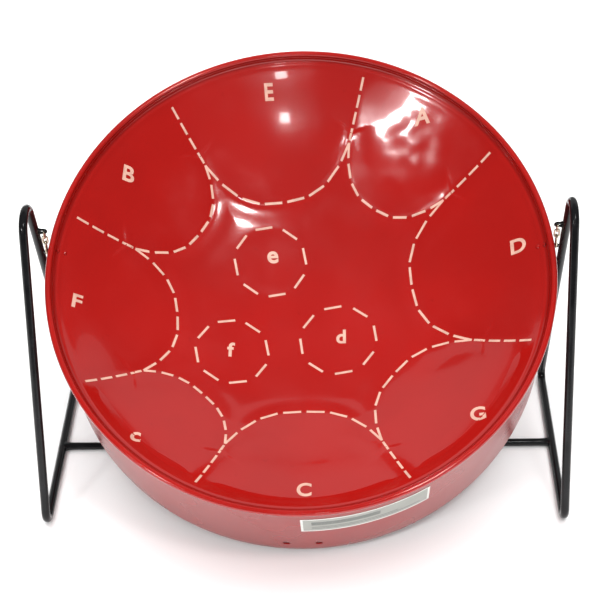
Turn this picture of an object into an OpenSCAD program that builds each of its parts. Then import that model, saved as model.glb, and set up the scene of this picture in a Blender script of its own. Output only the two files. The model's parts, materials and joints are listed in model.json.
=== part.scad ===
// Tabletop steel pan: a round red playing bowl with a deep skirt, hung from two short chains
// between two bent-rod side frames that a cross bar ties together.
// Millimetres. +X is the player's right, +Y points away from the player, +Z is up.
// The origin is the centre of the footprint, on the table.

/* [Pan] */
// Outer diameter over the rolled rim
rim_d = 406.4; // [300:0.1:600]
// Thickness of the rolled rim
bead_d = 5; // [3:0.1:10]
// Depth of the skirt below the rim
skirt_depth = 102; // [60:1:200]
// Sheet thickness of bowl and skirt
sheet_t = 1.2; // [0.8:0.1:2]
// Radius where the dish begins
dish_edge_r = 194; // [140:0.5:290]
// Depth of the dish edge below the rim
dish_edge_depth = 8; // [6:0.5:20]
// Depth of the dish at its centre
dish_depth = 85; // [40:1:150]
// Tilt of the pan toward the player
tilt = 28; // [0:1:45]
// Gap between the lowest skirt edge and the table
table_gap = 6; // [2:1:40]
// Diameter of the two small skirt holes
skirt_hole_d = 5.5; // [3:0.1:10]
// Depth of the skirt holes below the rim
skirt_hole_depth = 86; // [40:1:95]
// Angle of each skirt hole from the front
skirt_hole_a = 3.7; // [1:0.1:20]

/* [Stand] */
// Diameter of the side frame rod
rod_d = 7; // [5:0.1:12]
// Distance from the middle to each side frame
frame_x = 211; // [160:0.5:320]
// Height of the apex where the leg lines meet
apex_z = 282.5; // [200:0.5:400]
// Distance of the front foot ahead of the apex
front_reach = 99; // [50:1:200]
// Distance of the back foot behind the apex
back_reach = 87; // [50:1:200]
// Bend radius at the apex
apex_bend = 16; // [8:0.5:40]
// Bend radius at the feet
foot_bend = 9; // [8:0.5:40]
// Diameter of the cross bar
bar_d = 6.4; // [4:0.1:12]
// Position of the cross bar ahead of the apex
bar_ahead = 4; // [-40:1:80]

/* [Hangers] */
// Wire diameter of lug and pan eye
eye_wire_d = 2; // [1.5:0.1:3]
// Spacing of the two legs of lug and eye
eye_pitch = 3.8; // [3.4:0.1:6]
// Radius of the domed ends of the eye's legs
head_r = 1.9; // [1.4:0.1:3]
// Distance from the middle to each chain
chain_x = 204; // [150:0.1:300]
// Depth of the pan hinge below the rim
hinge_depth = 6.7; // [6:0.1:12]
// Distance of the pan hinge behind the pan centre
hinge_behind = 20.34; // [0:0.01:60]
// Wire diameter of the chain links
link_wire_d = 1.6; // [1:0.1:2.4]
// Mean radius of the link ends
link_end_r = 1.88; // [1.5:0.01:3]
// Distance between the end centres of the two upper links
short_link = 3.2; // [2:0.1:8]
// Distance between the end centres of the lowest link
long_link = 7.5; // [3:0.1:16]
// Offset between the end centres of neighbouring links
link_step = 2.1; // [1.5:0.05:4]

/* [Markings] */
// Thickness of the painted dashes and letters
paint_t = 0.3; // [0.1:0.05:1]
// Clearance between markings and the dish
paint_lift = 0.12; // [0.05:0.01:0.5]
// Width of a dash
dash_w = 2; // [1:0.1:5]
// Gap between dashes
dash_gap = 3; // [1:0.1:8]
// Gap between the dashes of an outer outline
outline_gap = 4.4; // [1:0.1:8]
// Gap between an outline's end and its divider
fork_gap = 0.8; // [0.4:0.1:4]
// Power that sets how full an outer outline is
curve_power = 2.7; // [1.5:0.1:5]
// Radius where the dividers meet the note outlines
fork_r = 145; // [100:1:180]
// Radius where the dividers end
divider_r = 190; // [150:1:200]
// Stroke width of the letters
stroke = 2.7; // [1:0.1:4]

/* [Label] */
// Angle the label covers on the skirt
label_a = 29.3; // [5:0.1:90]
// Height of the label
label_h = 31; // [10:1:80]
// Depth of the label top below the rim
label_depth = 19; // [6:1:60]

/* [Hidden] */
$fn = 96;
rim_r = rim_d / 2;
bead_r = bead_d / 2;
bead_c = rim_r - bead_r;
skirt_r = rim_r - 2.4;
wall_r = rim_r - 4.4;
// Sphere through the dish edge and the dish centre
dish_rise = dish_depth - dish_edge_depth;
dish_r = (dish_edge_r * dish_edge_r + dish_rise * dish_rise) / (2 * dish_rise);
dish_c = dish_r - dish_depth;
rod_r = rod_d / 2;
bar_r = bar_d / 2;
eye_r = eye_wire_d / 2;
link_r = link_wire_d / 2;
eye_bend = eye_pitch / 2;
// Height of the rim centre
pan_z = skirt_r * sin(tilt) + skirt_depth * cos(tilt) + table_gap;
// Height of the pan hinge, and of the chain hinge one chain length above it
hinge_z = pan_z + hinge_behind * sin(tilt) - hinge_depth * cos(tilt);
lug_z = hinge_z + 2 * short_link + long_link + 2 * link_step;
// Back leg line, measured from the apex, at the lug
leg_run = (apex_z - lug_z) / (apex_z - rod_r) * back_reach;
leg_lean = atan(back_reach / (apex_z - rod_r));
pan_from_apex = leg_run - hinge_behind * cos(tilt) - hinge_depth * sin(tilt);
// Footprint middle, measured from the apex
y_front = pan_from_apex - bead_c * cos(tilt) + bead_r * sin(tilt) - bead_r;
y_back = pan_from_apex + skirt_r * cos(tilt) + skirt_depth * sin(tilt);
apex_y = -(y_front + y_back) / 2;
pan_y = pan_from_apex + apex_y;
lug_y = leg_run + apex_y;
bar_y = apex_y - bar_ahead;
// Corners of the rod triangle as [y, z, bend radius], seen from +X, anticlockwise
corners = [
    [apex_y - front_reach, rod_r, foot_bend],
    [apex_y + back_reach, rod_r, foot_bend],
    [apex_y, apex_z, apex_bend]
];
// Note dividers, degrees from +X, anticlockwise
dividers = [-18.3, 34.6, 73.8, 124.8, 163.8, 208.4, 245.5, 296, 341.7];
// Innermost radius of each outer note outline, in the order D A E B F c C G
inner_r = [92.5, 104.5, 95.5, 107.6, 104.5, 116, 97.3, 99.5];
// Inner notes as [x, y, radius]
note_e = [-27.7, 42.7, 29.5];
note_f = [-58.3, -41, 29];
note_d = [29.3, -29.3, 31];

// ---------- shared helpers ----------

// Pan coordinates: origin at the rim centre, y up the slope, z along the pan's axis
module in_pan() {
    translate([0, pan_y, pan_z]) rotate([tilt, 0, 0]) children();
}

// A flat ring between two radii
module ring(outer, inner, h) {
    difference() {
        cylinder(h = h, r = outer, $fn = 180);
        translate([0, 0, -1]) cylinder(h = h + 2, r = inner, $fn = 180);
    }
}

// The rolled rim as a solid, used for the rim and to shape the sheets that meet it
module bead() {
    translate([0, 0, -bead_r]) rotate_extrude($fn = 120) translate([bead_c, 0]) circle(r = bead_r, $fn = 24);
}

// Child drawn flat at the origin, laid on the dish at x, y and turned by spin
module on_dish(x, y, spin) {
    phi = atan2(y, x);
    fall = asin(norm([x, y]) / dish_r);
    translate([0, 0, dish_c]) rotate([0, 0, phi]) rotate([0, -fall, 0])
        translate([0, 0, paint_lift - dish_r]) rotate([0, 0, spin - phi]) children();
}

module dash(x, y, spin, len) {
    on_dish(x, y, spin) translate([-len / 2, -dash_w / 2, 0]) cube([len, dash_w, paint_t]);
}

// ---------- pan ----------

module playing_bowl() {
    color([0.71, 0.1, 0.08]) in_pan() difference() {
        union() {
            difference() {
                intersection() {
                    translate([0, 0, dish_c]) sphere(r = dish_r + sheet_t, $fn = 120);
                    translate([0, 0, -dish_depth - 5]) cylinder(h = dish_depth + 5 - dish_edge_depth,
                        r = dish_edge_r + 1.6, $fn = 120);
                }
                translate([0, 0, dish_c]) sphere(r = dish_r, $fn = 120);
            }
            translate([0, 0, -dish_edge_depth - sheet_t]) ring(wall_r, dish_edge_r + 0.4, sheet_t);
            translate([0, 0, -dish_edge_depth - sheet_t])
                ring(wall_r, wall_r - sheet_t, dish_edge_depth + sheet_t - bead_r);
        }
        bead();
        leg_holes();
        mirror([1, 0, 0]) leg_holes();
    }
}

// Holes for the two legs of a hanger eye
module leg_holes() {
    for (d = [0, eye_pitch])
        translate([dish_edge_r - 12, hinge_behind, -hinge_depth - d]) rotate([0, 90, 0])
            cylinder(h = 24, r = eye_r + 0.06, $fn = 24);
}

module skirt() {
    color([0.68, 0.1, 0.09]) in_pan() difference() {
        translate([0, 0, -skirt_depth]) ring(skirt_r, skirt_r - sheet_t, skirt_depth - bead_r - 1);
        bead();
        leg_holes();
        mirror([1, 0, 0]) leg_holes();
        for (s = [-1, 1])
            rotate([0, 0, s * skirt_hole_a]) translate([0, -skirt_r + 5, -skirt_hole_depth])
                rotate([90, 0, 0]) cylinder(h = 10, r = skirt_hole_d / 2, $fn = 32);
    }
}

module rolled_rim() {
    color([0.7, 0.1, 0.09]) in_pan() bead();
}

module skirt_label() {
    color([0.69, 0.69, 0.66]) in_pan() translate([0, 0, -label_depth - label_h])
        rotate([0, 0, -90]) rotate_extrude(angle = label_a, $fn = 180)
            translate([skirt_r + 0.02, 0]) square([0.15, label_h]);
}

// Bent wire staple: two legs along -X and a half-ring, lower leg's bend centre at the origin.
// The legs reach to -top and -low.
module staple(top, low) {
    translate([0, 0, eye_bend]) rotate([90, 0, 0]) rotate([0, 0, -90])
        rotate_extrude(angle = 180, $fn = 48) translate([eye_bend, 0]) circle(r = eye_r, $fn = 20);
    translate([-low, 0, 0]) rotate([0, 90, 0]) cylinder(h = low, r = eye_r, $fn = 20);
    translate([-top, 0, eye_pitch]) rotate([0, 90, 0]) cylinder(h = top, r = eye_r, $fn = 20);
}

// Where each leg of the eye comes through the sheet, measured along X
leg_x_top = sqrt(pow(wall_r - sheet_t, 2) - pow(hinge_behind, 2));
leg_x_low = sqrt(pow(dish_r, 2) - pow(dish_c + hinge_depth + eye_pitch, 2) - pow(hinge_behind, 2));
eye_bend_x = chain_x + 0.1;

module hanger_eye() {
    color([0.05, 0.05, 0.05]) in_pan()
        translate([eye_bend_x, hinge_behind, -hinge_depth - eye_pitch])
            staple(eye_bend_x - leg_x_top + 1.4, eye_bend_x - leg_x_low + 1.1);
}

// Domed end of an eye leg, base at z = 0, with the leg passing through along the given turn.
// The dome is cut flat where x is below -flat.
module head(turn, flat) {
    difference() {
        sphere(r = head_r, $fn = 24);
        translate([-4, -4, -8]) cube([8, 8, 8]);
        translate([-flat - 8, -4, -4]) cube([8, 8, 8]);
        rotate(turn) translate([0, 0, -5]) cylinder(h = 6.2, r = eye_r + 0.12, $fn = 20);
    }
}

// Hammered ends of the eye's legs inside the bowl
module eye_heads() {
    fall = asin(norm([leg_x_low, hinge_behind]) / dish_r);
    phi = atan2(hinge_behind, leg_x_low);
    color([0.72, 0.16, 0.14]) in_pan() {
        translate([leg_x_top - 0.3, hinge_behind, -hinge_depth]) rotate([0, -90, 0])
            head([0, 0, 0], dish_edge_depth - hinge_depth - 0.05);
        on_dish(leg_x_low, hinge_behind, phi) head([0, fall - 90, 0], head_r);
    }
}

module left_hanger_eye() {
    mirror([1, 0, 0]) hanger_eye();
}

module right_hanger_eye() {
    hanger_eye();
}

module left_eye_heads() {
    mirror([1, 0, 0]) eye_heads();
}

module right_eye_heads() {
    eye_heads();
}

// ---------- markings ----------

// Curve between two dividers as a list of points from fork to fork, flat-bottomed and narrowing
function fork(a) = [fork_r * cos(a), fork_r * sin(a)];
function note_curve(p, q, depth, n) = [for (i = [0:n])
    (p + q) / 2 + (p - q) / 2 * cos(180 * i / n)
        - (p + q) / norm(p + q) * depth * (1 - pow(abs(cos(180 * i / n)), curve_power))];
function running(pts) = [for (i = 0, s = 0; i < len(pts);
    s = s + (i + 1 < len(pts) ? norm(pts[i + 1] - pts[i]) : 0), i = i + 1) s];
function at(pts, run, s, i = 0) = run[i + 1] >= s || i + 2 >= len(pts)
    ? pts[i] + (pts[i + 1] - pts[i]) * (s - run[i]) / (run[i + 1] - run[i])
    : at(pts, run, s, i + 1);

module outer_outline(k, count = 8) {
    p = fork(dividers[k]);
    q = fork(dividers[k + 1]);
    pts = note_curve(p, q, norm(p + q) / 2 - inner_r[k], 60);
    run = running(pts);
    step = (run[60] + outline_gap - 2 * fork_gap) / count;
    color([0.86, 0.68, 0.62]) in_pan() for (i = [0:count - 1]) {
        mid = fork_gap + (i + 0.5) * step - outline_gap / 2;
        c = at(pts, run, mid);
        d = at(pts, run, mid + 2) - at(pts, run, mid - 2);
        difference() {
            dash(c[0], c[1], atan2(d[1], d[0]), step - outline_gap);
            if (i == 0) beside(dividers[k], -20);
            if (i == count - 1) beside(dividers[k + 1], 0);
        }
    }
}

// Block along a divider, from just short of it, that trims the dash of the note beside it
module beside(a, side) {
    rotate([0, 0, a]) translate([100, side < 0 ? side + 0.06 : side - 0.06, -120]) cube([100, 20, 120]);
}

module inner_outline(note, turn) {
    color([0.86, 0.68, 0.62]) in_pan() for (i = [0:7]) {
        a = i * 45 + turn;
        dash(note[0] + note[2] * cos(a), note[1] + note[2] * sin(a), a + 90, 14.5);
    }
}

module divider_dashes(count = 4) {
    first = fork_r + 1;
    step = (divider_r + dash_gap - first) / count;
    color([0.86, 0.68, 0.62]) in_pan() for (k = [0:7], i = [0:count - 1]) {
        r = first + (i + 0.5) * step - dash_gap / 2;
        dash(r * cos(dividers[k]), r * sin(dividers[k]), dividers[k], step - dash_gap);
    }
}

module outline_low_d() {
    outer_outline(0);
}

module outline_low_a() {
    outer_outline(1);
}

module outline_low_e() {
    outer_outline(2);
}

module outline_low_b() {
    outer_outline(3);
}

module outline_low_f() {
    outer_outline(4);
}

module outline_high_c() {
    outer_outline(5);
}

module outline_low_c() {
    outer_outline(6);
}

module outline_low_g() {
    outer_outline(7);
}

module outline_high_e() {
    inner_outline(note_e, 11);
}

module outline_high_f() {
    inner_outline(note_f, 11);
}

module outline_high_d() {
    inner_outline(note_d, 8);
}

// A letter laid on the dish
module letter(x, y, spin) {
    color([0.86, 0.68, 0.62]) in_pan() on_dish(x, y, spin) children();
}

// Part of a flat ring, from angle a through sweep
module arc(r, a, sweep) {
    rotate([0, 0, a]) rotate_extrude(angle = sweep, $fn = 48)
        translate([r - stroke / 2, 0]) square([stroke, paint_t]);
}

// Upright stroke centred on x, from y0 to y1
module upright(x, y0, y1) {
    translate([x - stroke / 2, y0, 0]) cube([stroke, y1 - y0, paint_t]);
}

// Level stroke centred on y, from x0 to x1
module level(y, x0, x1) {
    translate([x0, y - stroke / 2, 0]) cube([x1 - x0, stroke, paint_t]);
}

cap = 12.4;
half = stroke / 2;

module letter_low_d() {
    r = cap / 2 - half;
    letter(175.7, 26.3, 2) union() {
        upright(-4.2, -cap / 2, cap / 2);
        level(r, -4.2, -0.5);
        level(-r, -4.2, -0.5);
        translate([-0.6, 0, 0]) arc(r, -90, 180);
    }
}

module letter_low_a() {
    letter(102, 148, 0) difference() {
        linear_extrude(paint_t) polygon([[-6.6, -6.2], [-3.6, -6.2], [-2.7, -3.6], [2.7, -3.6],
            [3.6, -6.2], [6.6, -6.2], [1.6, 6.2], [-1.6, 6.2]]);
        translate([0, 0, -1]) linear_extrude(paint_t + 2) polygon([[-1.8, -1.4], [1.8, -1.4], [0, 3.6]]);
    }
}

module letter_low_e() {
    letter(-27.3, 175, 4) union() {
        upright(-4, -cap / 2, cap / 2);
        for (y = [-cap / 2 + half, 0, cap / 2 - half])
            level(y, -4, 5.4);
    }
}

module letter_low_b() {
    r = (cap + stroke) / 4 - half;
    letter(-143.7, 98.7, -8) union() {
        upright(-4.2, -cap / 2, cap / 2);
        for (y = [-cap / 2 + half, 0, cap / 2 - half])
            level(y, -4.2, 1.2);
        for (y = [-r, r])
            translate([1, y, 0]) arc(r, -90, 180);
    }
}

module letter_low_f() {
    letter(-179, -19, -4) union() {
        upright(-3.4, -cap / 2, cap / 2);
        level(cap / 2 - half, -3.4, 4.4);
        level(0.4, -3.4, 3.4);
    }
}

module letter_high_c() {
    letter(-126.7, -134.3, 0) arc(4.1, 48, 264);
}

module letter_low_c() {
    letter(3, -176, 0) arc(5.1, 42, 276);
}

module letter_low_g() {
    letter(137, -117, 0) union() {
        arc(5, 42, 300);
        level(-0.8, 0.6, 6);
        upright(5, -4, 0);
    }
}

module letter_high_e() {
    letter(-25.7, 46.7, 4) union() {
        arc(3.9, 0, 310);
        level(0, -3.9, 5.2);
    }
}

module letter_high_f() {
    letter(-59.3, -39.3, 0) union() {
        upright(-0.6, -6.5, 3.2);
        translate([2.2, 3.1, 0]) arc(2.8, 75, 105);
        level(1.6, -3.4, 3.2);
    }
}

module letter_high_d() {
    letter(31.7, -26.3, 0) union() {
        translate([-1, -2, 0]) arc(3.4, 0, 360);
        upright(3.2, -6.3, 6.3);
    }
}

// ---------- chains ----------

// Closed oval link in the YZ plane, upper end centre at the origin
module link(len) {
    for (s = [0, 1])
        translate([0, 0, -s * len]) rotate([90, 0, 90]) rotate([0, 0, s * 180])
            rotate_extrude(angle = 180, $fn = 40) translate([link_end_r, 0]) circle(r = link_r, $fn = 16);
    for (s = [-1, 1])
        translate([0, s * link_end_r, -len]) cylinder(h = len, r = link_r, $fn = 16);
}

middle_z = lug_z - short_link - link_step;
bottom_z = middle_z - short_link - link_step;

module link_top() {
    color([0.75, 0.72, 0.65]) translate([chain_x, lug_y, lug_z]) link(short_link);
}

module link_middle() {
    color([0.75, 0.72, 0.65]) translate([chain_x, lug_y, middle_z]) rotate([0, 0, 90]) link(short_link);
}

module link_bottom() {
    color([0.75, 0.72, 0.65]) translate([chain_x, lug_y, bottom_z]) link(long_link);
}

module left_link_top() {
    mirror([1, 0, 0]) link_top();
}

module left_link_middle() {
    mirror([1, 0, 0]) link_middle();
}

module left_link_bottom() {
    mirror([1, 0, 0]) link_bottom();
}

module right_link_top() {
    link_top();
}

module right_link_middle() {
    link_middle();
}

module right_link_bottom() {
    link_bottom();
}

// ---------- stand ----------

function heading(a, b) = atan2(b[1] - a[1], b[0] - a[0]);
function turn_at(a, b, c) = (heading(b, c) - heading(a, b) + 720) % 360;
function cutback(a, b, c) = b[2] * tan(turn_at(a, b, c) / 2);

// Straight rod in the YZ plane from a toward b, less the two cutbacks
module straight(a, b, cut_a, cut_b, r) {
    run = norm([b[0] - a[0], b[1] - a[1]]);
    ang = heading(a, b);
    translate([0, a[0] + cut_a * cos(ang), a[1] + cut_a * sin(ang)]) rotate([ang - 90, 0, 0])
        cylinder(h = run - cut_a - cut_b, r = r, $fn = 32);
}

// Bent rod at corner b, coming from a and going on to c; its ends run a little into the straights
module bend(a, b, c, r) {
    ang = heading(a, b);
    cut = cutback(a, b, c);
    extra = 0.5 / b[2] * 180 / PI;
    translate([0, b[0] - cut * cos(ang) - b[2] * sin(ang), b[1] - cut * sin(ang) + b[2] * cos(ang)])
        rotate([90, 0, 90]) rotate([0, 0, ang - 90 - extra])
            rotate_extrude(angle = turn_at(a, b, c) + 2 * extra, $fn = 64)
                translate([b[2], 0]) circle(r = r - 0.03, $fn = 32);
}

module side_frame() {
    color([0.04, 0.04, 0.04]) translate([frame_x, 0, 0]) union() for (i = [0:2]) {
        a = corners[i];
        b = corners[(i + 1) % 3];
        c = corners[(i + 2) % 3];
        straight(a, b, cutback(c, a, b), cutback(a, b, c), rod_r);
        bend(a, b, c, rod_r);
    }
}

module left_side_frame() {
    mirror([1, 0, 0]) side_frame();
}

module right_side_frame() {
    side_frame();
}

// The stretch of floor rod that the cross bar meets
module floor_rod() {
    translate([frame_x, bar_y - 20, rod_r]) rotate([-90, 0, 0]) cylinder(h = 40, r = rod_r, $fn = 32);
}

module cross_bar() {
    color([0.04, 0.04, 0.04]) difference() {
        translate([-frame_x + 1, bar_y, rod_r]) rotate([0, 90, 0])
            cylinder(h = 2 * frame_x - 2, r = bar_r, $fn = 32);
        floor_rod();
        mirror([1, 0, 0]) floor_rod();
    }
}

// Concave fillet around the end of the cross bar
module bar_weld() {
    color([0.05, 0.05, 0.05]) difference() {
        translate([frame_x - 9.5, bar_y, rod_r]) rotate([0, 90, 0]) rotate_extrude($fn = 40)
            polygon([[bar_r, 0], [bar_r + 0.35, 0.2], [bar_r + 0.7, 2], [bar_r + 1.5, 4],
                [bar_r + 3.2, 6], [bar_r + 3.6, 8], [bar_r, 8]]);
        floor_rod();
        translate([frame_x - 20, bar_y - 20, -19.9]) cube([40, 40, 20]);
        translate([frame_x - 20, bar_y - 20, rod_d - 0.1]) cube([40, 40, 20]);
    }
}

module left_bar_weld() {
    mirror([1, 0, 0]) bar_weld();
}

module right_bar_weld() {
    bar_weld();
}

// The back leg around the lug
module leg_rod() {
    translate([frame_x, lug_y, lug_z]) rotate([leg_lean, 0, 0]) translate([0, 0, -20])
        cylinder(h = 44, r = rod_r, $fn = 32);
}

// Staple welded to the inner side of the back leg; the chain hangs on its lower leg
module lug() {
    color([0.05, 0.05, 0.05]) difference() {
        translate([chain_x - 0.1, lug_y, lug_z]) rotate([leg_lean, 0, 0]) mirror([1, 0, 0])
            staple(frame_x - chain_x, frame_x - chain_x);
        leg_rod();
    }
}

module lug_weld() {
    color([0.05, 0.05, 0.05]) difference() {
        for (h = [0, eye_pitch])
            translate([frame_x - rod_r - 1.6, lug_y, lug_z]) rotate([leg_lean, 0, 0]) translate([0, 0, h])
                rotate([0, 90, 0]) rotate_extrude($fn = 24)
                    polygon([[eye_r, 0], [eye_r + 0.2, 0.1], [eye_r + 0.4, 0.9], [eye_r + 0.85, 1.7],
                        [eye_r + 0.85, 3], [eye_r, 3]]);
        leg_rod();
    }
}

module left_lug() {
    mirror([1, 0, 0]) lug();
}

module right_lug() {
    lug();
}

module left_lug_weld() {
    mirror([1, 0, 0]) lug_weld();
}

module right_lug_weld() {
    lug_weld();
}

playing_bowl();
skirt();
rolled_rim();
skirt_label();
left_hanger_eye();
right_hanger_eye();
left_eye_heads();
right_eye_heads();
divider_dashes();
outline_low_d();
outline_low_a();
outline_low_e();
outline_low_b();
outline_low_f();
outline_high_c();
outline_low_c();
outline_low_g();
outline_high_e();
outline_high_f();
outline_high_d();
letter_low_d();
letter_low_a();
letter_low_e();
letter_low_b();
letter_low_f();
letter_high_c();
letter_low_c();
letter_low_g();
letter_high_e();
letter_high_f();
letter_high_d();
left_link_top();
left_link_middle();
left_link_bottom();
right_link_top();
right_link_middle();
right_link_bottom();
left_side_frame();
right_side_frame();
cross_bar();
left_bar_weld();
right_bar_weld();
left_lug();
right_lug();
left_lug_weld();
right_lug_weld();
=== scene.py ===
import json
import math

import bmesh
import bpy
import numpy as np
from bpy.props import FloatProperty, FloatVectorProperty, PointerProperty
from mathutils import Matrix, Vector, noise


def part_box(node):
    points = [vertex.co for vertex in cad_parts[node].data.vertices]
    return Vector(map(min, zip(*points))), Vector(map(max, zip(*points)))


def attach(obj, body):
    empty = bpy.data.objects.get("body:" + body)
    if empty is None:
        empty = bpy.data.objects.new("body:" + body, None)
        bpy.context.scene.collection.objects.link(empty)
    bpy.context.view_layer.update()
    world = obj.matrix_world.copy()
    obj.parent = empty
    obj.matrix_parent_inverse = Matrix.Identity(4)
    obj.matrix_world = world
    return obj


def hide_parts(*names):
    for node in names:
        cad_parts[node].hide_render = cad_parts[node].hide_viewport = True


bl_info = {
    "name": "Tabletop Steel Pan",
    "version": (1, 0, 0),
    "blender": (4, 5, 0),
    "location": "View3D > Sidebar > Steel Pan",
    "description": "Builds the hammered bowl, skirt, chains, rod stand and studio around the packed frame",
    "category": "Object",
}

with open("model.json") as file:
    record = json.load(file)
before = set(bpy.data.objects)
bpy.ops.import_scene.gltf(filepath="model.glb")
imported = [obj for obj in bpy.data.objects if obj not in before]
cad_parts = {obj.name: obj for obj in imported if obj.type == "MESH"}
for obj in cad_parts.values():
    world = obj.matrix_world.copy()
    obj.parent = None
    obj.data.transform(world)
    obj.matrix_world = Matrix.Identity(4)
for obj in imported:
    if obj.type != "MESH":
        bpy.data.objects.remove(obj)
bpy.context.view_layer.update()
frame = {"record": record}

MM = 0.001

# The rolled rim is a torus, so its box gives the rim's centre, radius and tilt
BEAD_R = 2.5 * MM
RIM_LOW, RIM_HIGH = (Vector(corner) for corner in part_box("rolled_rim"))
BEAD_C = (RIM_HIGH.x - RIM_LOW.x) / 2 - BEAD_R
TILT = math.atan2((RIM_HIGH.z - RIM_LOW.z) / 2 - BEAD_R, (RIM_HIGH.y - RIM_LOW.y) / 2 - BEAD_R)
AXIS = Vector((0, -math.sin(TILT), math.cos(TILT)))
# Pan coordinates: the rim's top plane is z = 0, y runs up the slope
PAN = Matrix.Translation((RIM_LOW + RIM_HIGH) / 2 + AXIS * BEAD_R) @ Matrix.Rotation(TILT, 4, "X")

# Outer radius of the skirt
SKIRT_R = BEAD_C + 0.1 * MM
# Inner radius in mm of the bowl's upright wall
WALL_R = 197.6
# The outer notes anticlockwise from +X, and the dividers between them in degrees
OUTER_NODES = ("low_d", "low_a", "low_e", "low_b", "low_f", "high_c", "low_c", "low_g")
DIVIDERS = (-18.3, 34.6, 73.8, 124.8, 163.8, 208.4, 245.5, 296.0, 341.7)
# Innermost radius in mm of each outer note, and the power that sets how full its outline is
INNER_R = (92.5, 104.5, 95.5, 107.6, 104.5, 116.0, 97.3, 99.5)
FULLNESS = 2.7
# The three notes at the front, which are flatter than the rest
FLAT_NOTES = (5, 6, 7)
# Depth in mm of the groove hammered round each outer note
GROOVES = (0.10, 0.42, 0.42, 0.42, 0.10, 0.08, 0.08, 0.08)
# Inner notes as centre x, centre y, radius and the turn of their dashes, in mm and degrees
INNER = {"high_e": (-27.7, 42.7, 29.5, 11), "high_f": (-58.3, -41.0, 29.0, 11), "high_d": (29.3, -29.3, 31.0, 8)}
# Radii in mm where the outlines meet the dividers, and where the dividers start and end
FORK_R, DIVIDER_START, DIVIDER_END = 145.0, 146.0, 190.0
# Gaps in mm between the dashes of an outline, beside a divider, and along a divider
OUTLINE_GAP, FORK_GAP, DIVIDER_GAP = 4.4, 0.8, 3.0
# Length of an inner note's dash, width of every dash, paint thickness and lift off the dish, in mm
INNER_DASH, DASH_WIDTH, PAINT, PAINT_LIFT = 14.5, 1.9, 0.12, 0.03
# Letters as node, character, centre x, centre y, height of the character in mm, turn in degrees
LETTERS = (
    ("letter_low_d", "D", 175.7, 26.3, 12.4, 2),
    ("letter_low_a", "A", 102, 148, 12.6, 0),
    ("letter_low_e", "E", -27.3, 175, 12.2, 4),
    ("letter_low_b", "B", -143.7, 98.7, 12.4, -8),
    ("letter_low_f", "F", -179, -19, 12.4, -4),
    ("letter_high_c", "c", -126.7, -134.3, 9.4, 0),
    ("letter_low_c", "C", 3, -176, 12.8, 0),
    ("letter_low_g", "G", 137, -117, 12.8, 0),
    ("letter_high_e", "e", -25.7, 46.7, 10.6, 4),
    ("letter_high_f", "f", -59.3, -39.3, 13.4, 0),
    ("letter_high_d", "d", 31.7, -26.3, 12.8, 0),
)
# Skirt holes: radius, depth below the rim, and degrees either side of the front
HOLE_R, HOLE_DEPTH, HOLE_TURN = 2.75 * MM, 86 * MM, 3.7
# Label: degrees it covers from the front, top edge below the rim, height and paper thickness
LABEL_TURN, LABEL_TOP, LABEL_HEIGHT, LABEL_PAPER = 29.3, 19 * MM, 31 * MM, 0.16 * MM

SIDES = (("left", -1), ("right", 1))
# Spacing of the two legs of a lug or hanger eye
EYE_PITCH = 3.8 * MM
# Bends of a side frame, and the share of its foot rod that lies ahead of the apex
FOOT_BEND, APEX_BEND, FRONT_SHARE = 9 * MM, 16 * MM, 99 / 186

FLOOR_RADIUS = 2.3
# Brightness of the surroundings as light, and as the camera sees them
WORLD_LIGHT, WORLD_SEEN = 0.10, 0.95
MIDDLE = (0, 0, 0.12)
# Area lights as name, place, target, width, height in metres, power in watts, seen in reflections
LAMPS = (
    ("backdrop_card", (0, 1.55, 1.2), (0, 0, 0.44), 4.6, 1.58, 11, True),
    ("low_strip", (-1.0, 1.75, 0.22), MIDDLE, 2.0, 0.11, 5, True),
    ("left_window", (-0.97, -1.26, 1.01), MIDDLE, 0.17, 0.17, 5, True),
    ("right_window", (0.47, -0.98, 1.64), MIDDLE, 0.2, 0.2, 6, True),
    ("low_window", (0.11, -1.70, 1.10), MIDDLE, 0.10, 0.10, 1.1, True),
    ("front_fill", (0, -2.6, 1.5), (0, 0, 0), 3.0, 3.0, 68, False),
    ("overhead", (0, 0.3, 2.6), MIDDLE, 4.0, 4.0, 145, False),
)
# What the camera looks at, from the left lug
AIM_SHIFT = Vector((0, -17.9 * MM, -57.2 * MM))
AIM_X = -0.86 * MM


# ---------- properties ----------


class PanProperties(bpy.types.PropertyGroup):
    """Sizes and colours of the pan"""

    sheet: FloatProperty(
        name="Sheet", description="Thickness of the steel sheet",
        default=1.2 * MM, unit="LENGTH", precision=4)
    dish_edge: FloatProperty(
        name="Dish edge", description="Radius where the dish begins", default=194 * MM, unit="LENGTH")
    edge_depth: FloatProperty(
        name="Edge depth", description="Depth of the dish edge below the rim", default=8 * MM, unit="LENGTH")
    dish_depth: FloatProperty(
        name="Dish depth", description="Depth of the dish at its centre", default=85 * MM, unit="LENGTH")
    skirt_depth: FloatProperty(
        name="Skirt depth", description="Depth of the skirt below the rim", default=102 * MM, unit="LENGTH")
    note_rise: FloatProperty(
        name="Note rise", description="How far an outer note is raised",
        default=2.4 * MM, unit="LENGTH", precision=4)
    inner_rise: FloatProperty(
        name="Inner note rise", description="How far an inner note is raised",
        default=1.5 * MM, unit="LENGTH", precision=4)
    hammering: FloatProperty(
        name="Hammering", description="Depth of the shallow hammer marks",
        default=0.16 * MM, unit="LENGTH", precision=5)
    red: FloatVectorProperty(
        name="Red", description="Enamel colour",
        subtype="COLOR", size=4, min=0, max=1, default=(0.285, 0.0046, 0.0031, 1))
    cream: FloatVectorProperty(
        name="Cream", description="Colour of the painted marks",
        subtype="COLOR", size=4, min=0, max=1, default=(0.56, 0.335, 0.26, 1))
    paper: FloatVectorProperty(
        name="Paper", description="Colour of the label",
        subtype="COLOR", size=4, min=0, max=1, default=(0.33, 0.345, 0.315, 1))


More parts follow.
